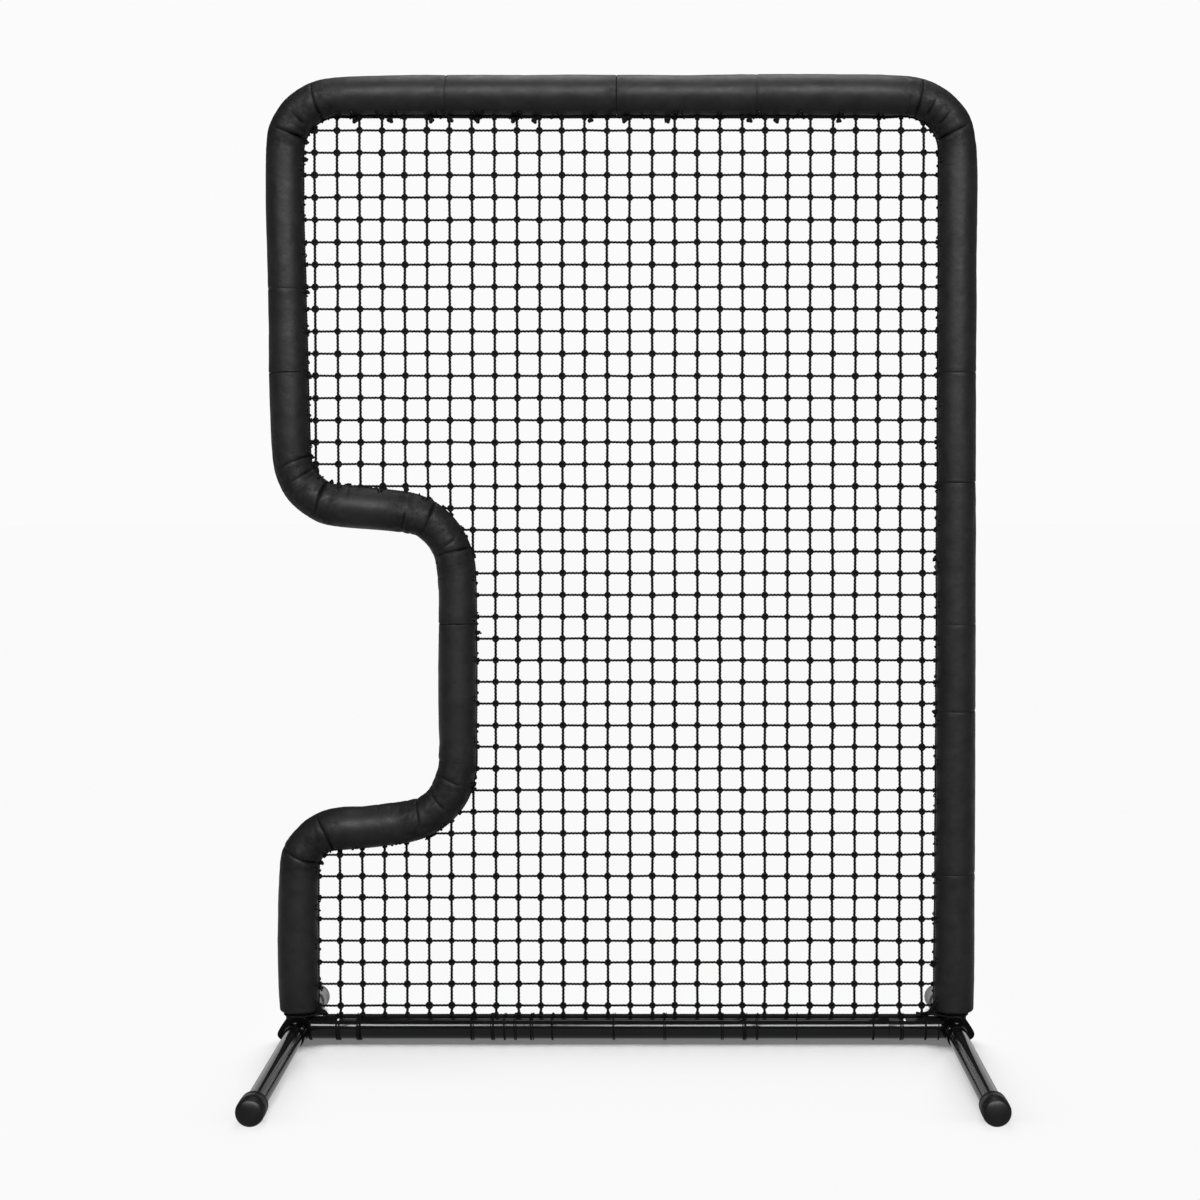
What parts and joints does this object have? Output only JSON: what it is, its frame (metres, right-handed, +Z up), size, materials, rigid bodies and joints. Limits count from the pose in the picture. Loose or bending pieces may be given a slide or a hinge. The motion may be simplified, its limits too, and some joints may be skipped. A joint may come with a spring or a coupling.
{
  "type": "padded baseball c screen",
  "caption": "C-shaped pitching screen: bent steel frame in black padded covers, knotted square net, bottom rail and two floor legs on rubber feet.",
  "frame": {"origin": "centre of the overall footprint, on the floor under the screen", "axes": "+Z is up; +X runs across the screen, away from the C-shaped throwing window; -Y is the pitcher's side and +Y the batter's side, along the floor legs"},
  "size_m": [1.5623, 0.912, 2.133],
  "materials": {
    "frame_steel": "gloss black powder coat on steel tube",
    "pad_vinyl": "soft satin black coated-fabric vinyl, creased at the bends, with sewn seams",
    "pad_foam": "closed-cell polyethylene foam",
    "net_twine": "black twisted polyethylene twine, knotted",
    "net_rope": "black braided cord",
    "foot_rubber": "matt black moulded rubber",
    "zinc_hardware": "zinc-plated steel",
    "spring_steel": "plain spring steel"
  },
  "bodies": {
    "screen": {"frame_top_left": "frame_steel", "frame_c_upper": "frame_steel", "frame_c_lower": "frame_steel", "frame_top_right": "frame_steel", "frame_right_lower": "frame_steel", "splice_top": "frame_steel", "splice_left_upright": "frame_steel", "splice_c_upright": "frame_steel", "splice_right_upright": "frame_steel", "splice_rail": "frame_steel", "corner_socket_left": "frame_steel", "corner_socket_right": "frame_steel", "rail_left": "frame_steel", "rail_right": "frame_steel", "leg_left": "frame_steel", "leg_right": "frame_steel", "foam_top_left": "pad_foam", "foam_bend_top_left": "pad_foam", "foam_left_upright_high": "pad_foam", "foam_left_upright_low": "pad_foam", "foam_bend_upper_arm_outer": "pad_foam", "foam_upper_arm": "pad_foam", "foam_bend_upper_arm_inner": "pad_foam", "foam_c_upright_high": "pad_foam", "foam_c_upright_low": "pad_foam", "foam_bend_lower_arm_inner": "pad_foam", "foam_lower_arm": "pad_foam", "foam_bend_lower_arm_outer": "pad_foam", "foam_left_lower": "pad_foam", "foam_top_right": "pad_foam", "foam_bend_top_right": "pad_foam", "foam_right_upper": "pad_foam", "foam_right_lower": "pad_foam", "cover_top_left": "pad_vinyl", "cover_c_upper": "pad_vinyl", "cover_c_lower": "pad_vinyl", "cover_top_right": "pad_vinyl", "cover_right_lower": "pad_vinyl", "net_panel": "net_twine", "net_border_rope": "net_rope", "lacing_left": "net_rope", "lacing_right": "net_rope", "rail_lashing": "net_rope", "foot_cap_left_front": "foot_rubber", "foot_cap_left_rear": "foot_rubber", "foot_cap_right_front": "foot_rubber", "foot_cap_right_rear": "foot_rubber", "leg_lock_screw_left": "zinc_hardware", "leg_lock_screw_right": "zinc_hardware", "leg_spring_left": "spring_steel", "leg_spring_right": "spring_steel", "rail_spring_left": "spring_steel", "rail_spring_right": "spring_steel"},
    "leg_button_left": {"leg_button_left": "zinc_hardware"},
    "leg_button_right": {"leg_button_right": "zinc_hardware"},
    "rail_button_left": {"rail_button_left": "zinc_hardware"},
    "rail_button_right": {"rail_button_right": "zinc_hardware"}
  },
  "joints": [
    {"name": "leg_button_left_press", "type": "slide", "parent": "screen", "child": "leg_button_left", "axis": [-0.7071, 0, -0.7071], "range_m": [0, 0.006], "stiffness_N_per_m": 1500},
    {"name": "leg_button_right_press", "type": "slide", "parent": "screen", "child": "leg_button_right", "axis": [0.7071, 0, -0.7071], "range_m": [0, 0.006], "stiffness_N_per_m": 1500},
    {"name": "rail_button_left_press", "type": "slide", "parent": "screen", "child": "rail_button_left", "axis": [0, 0.5878, -0.809], "range_m": [0, 0.0052], "stiffness_N_per_m": 1500},
    {"name": "rail_button_right_press", "type": "slide", "parent": "screen", "child": "rail_button_right", "axis": [0, 0.5878, -0.809], "range_m": [0, 0.0052], "stiffness_N_per_m": 1500}
  ]
}
